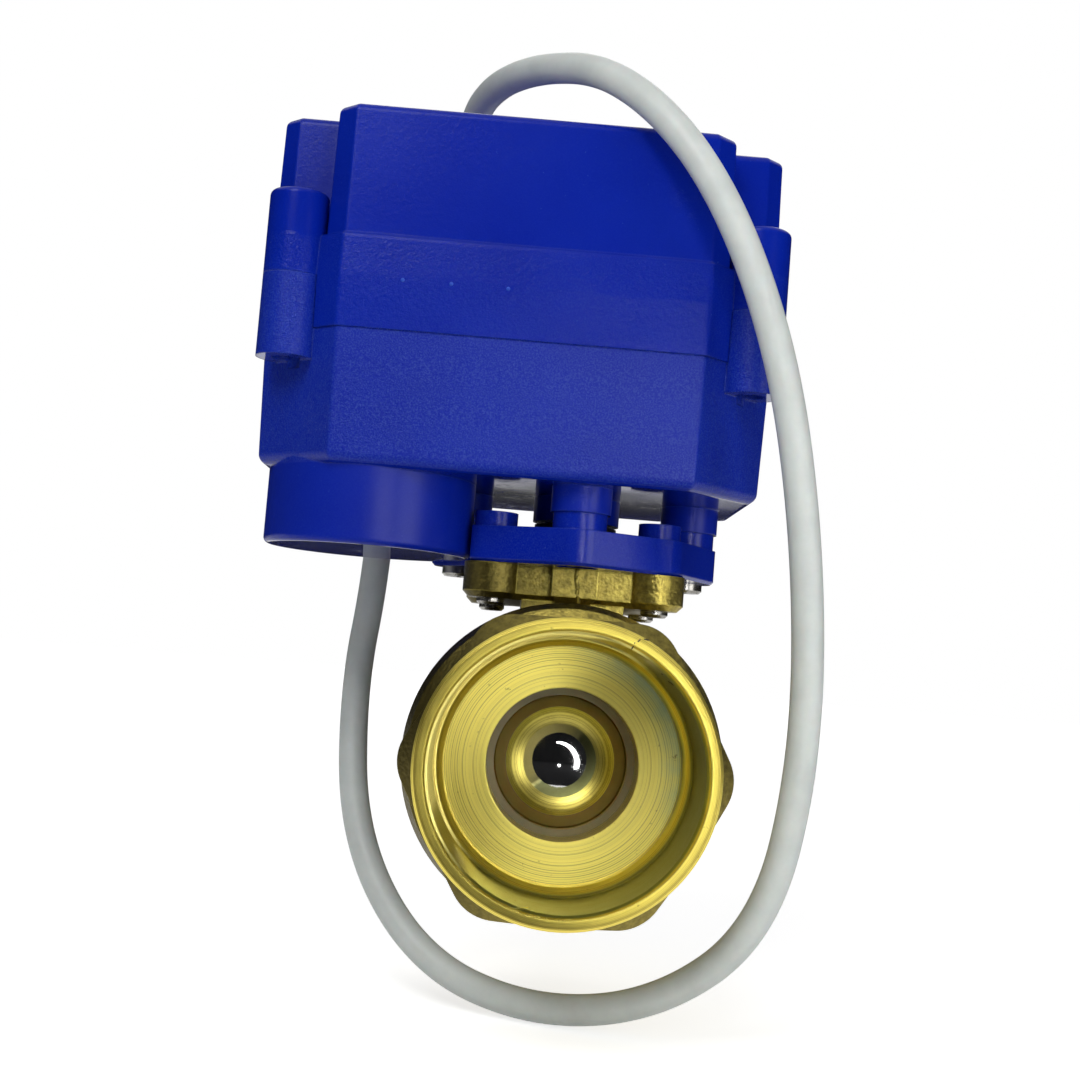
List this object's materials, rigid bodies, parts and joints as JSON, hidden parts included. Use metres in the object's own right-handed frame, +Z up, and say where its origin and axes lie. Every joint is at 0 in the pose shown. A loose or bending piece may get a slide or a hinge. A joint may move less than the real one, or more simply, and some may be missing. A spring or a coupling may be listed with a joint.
{
  "type": "motorized ball valve",
  "caption": "Two-way brass ball valve with plain pipe sockets, turned by a geared electric motor in a stepped plastic housing on top, with a short cable.",
  "frame": {"origin": "centre of the ball, on the axis of the bore and of the stem", "axes": "+Y along the bore from the inlet to the outlet, +Z up the stem to the actuator, +X to the right of someone looking into the inlet"},
  "size_m": [0.0779, 0.078, 0.1352],
  "materials": {
    "brass": "bright turned inside, forged outside",
    "seat_plastic": "grey sealing plastic",
    "black_rubber": "moulded",
    "chromed_ball": "polished",
    "stem_brass": "turned",
    "black_plastic": "moulded",
    "blue_plastic": "fine spark texture",
    "steel_screws": "zinc plated",
    "steel_plate": "stamped",
    "gear_metal": "turned",
    "white_plastic": "moulded",
    "board_green": "laminate",
    "terminal_green": "moulded",
    "lead_insulation": "soft insulation",
    "cable_sheath": "soft round sheath",
    "red_insulation": "soft insulation",
    "black_insulation": "soft insulation",
    "green_insulation": "soft insulation",
    "tinned_copper": "tinned strands"
  },
  "bodies": {
    "valve": {"valve_body": "brass", "end_connector": "brass", "front_seat": "seat_plastic", "rear_seat": "seat_plastic", "body_o_ring": "black_rubber", "thrust_washer": "seat_plastic", "mounting_plate": "blue_plastic", "flange_screws": "steel_screws", "pillar_screws": "steel_screws", "lower_housing": "blue_plastic", "top_cover": "blue_plastic", "cover_seal": "black_rubber", "cover_screws": "steel_screws", "motor_can": "steel_plate", "motor_cap": "black_plastic", "motor_screws": "steel_screws", "lower_gear_plate": "steel_plate", "upper_gear_plate": "steel_plate", "gear_plate_posts": "steel_plate", "gear_plate_screws": "steel_screws", "first_axle": "steel_plate", "second_axle": "steel_plate", "output_bush": "gear_metal", "closed_switch": "black_plastic", "open_switch": "black_plastic", "circuit_board": "board_green", "board_spacers": "gear_metal", "terminal_block": "terminal_green", "board_parts": "black_plastic", "inner_leads": "lead_insulation", "cable_gland": "cable_sheath", "cable": "cable_sheath", "conductor_red": "red_insulation", "conductor_black": "black_insulation", "conductor_green": "green_insulation", "conductor_tips": "tinned_copper"},
    "valve_drive": {"ball": "chromed_ball", "stem": "stem_brass", "stem_o_rings": "black_rubber", "drive_coupling": "black_plastic", "output_shaft": "steel_plate", "output_gear": "white_plastic", "limit_cam": "black_plastic"},
    "second_reduction": {"second_gear": "white_plastic"},
    "first_reduction": {"first_gear": "white_plastic"},
    "motor_rotor": {"motor_pinion": "gear_metal"},
    "closed_lever": {"closed_switch_lever": "steel_plate"},
    "open_lever": {"open_switch_lever": "steel_plate"}
  },
  "joints": [
    {"name": "ball_turn", "type": "hinge", "parent": "valve", "child": "valve_drive", "pos_m": [0, 0, 0], "axis": [0, 0, 1], "range_deg": [0, 90]},
    {"name": "second_gear_turn", "type": "hinge", "parent": "valve", "child": "second_reduction", "pos_m": [-0.02047, 0.00689, 0.055], "axis": [0, 0, 1], "range_deg": [-316, 1]},
    {"name": "first_gear_turn", "type": "hinge", "parent": "valve", "child": "first_reduction", "pos_m": [-0.01551, -0.00853, 0.053], "axis": [0, 0, 1], "range_deg": [-1, 1103.5]},
    {"name": "motor_turn", "type": "hinge", "parent": "valve", "child": "motor_rotor", "pos_m": [-0.029, -0.008, 0.052], "axis": [0, 0, 1], "range_deg": [-3860, 1]},
    {"name": "closed_lever_press", "type": "hinge", "parent": "valve", "child": "closed_lever", "pos_m": [0.00795, -0.0055, 0.069], "axis": [0, 0, -1], "range_deg": [0, 3], "stiffness_Nm_per_rad": 0.005},
    {"name": "open_lever_press", "type": "hinge", "parent": "valve", "child": "open_lever", "pos_m": [0.0055, 0.00795, 0.069], "axis": [0, 0, -1], "range_deg": [0, 3], "stiffness_Nm_per_rad": 0.005}
  ],
  "couplings": [
    {"joint": "second_gear_turn", "follows": "ball_turn", "ratio": -3.5},
    {"joint": "first_gear_turn", "follows": "ball_turn", "ratio": 12.25},
    {"joint": "motor_turn", "follows": "ball_turn", "ratio": -42.875}
  ]
}
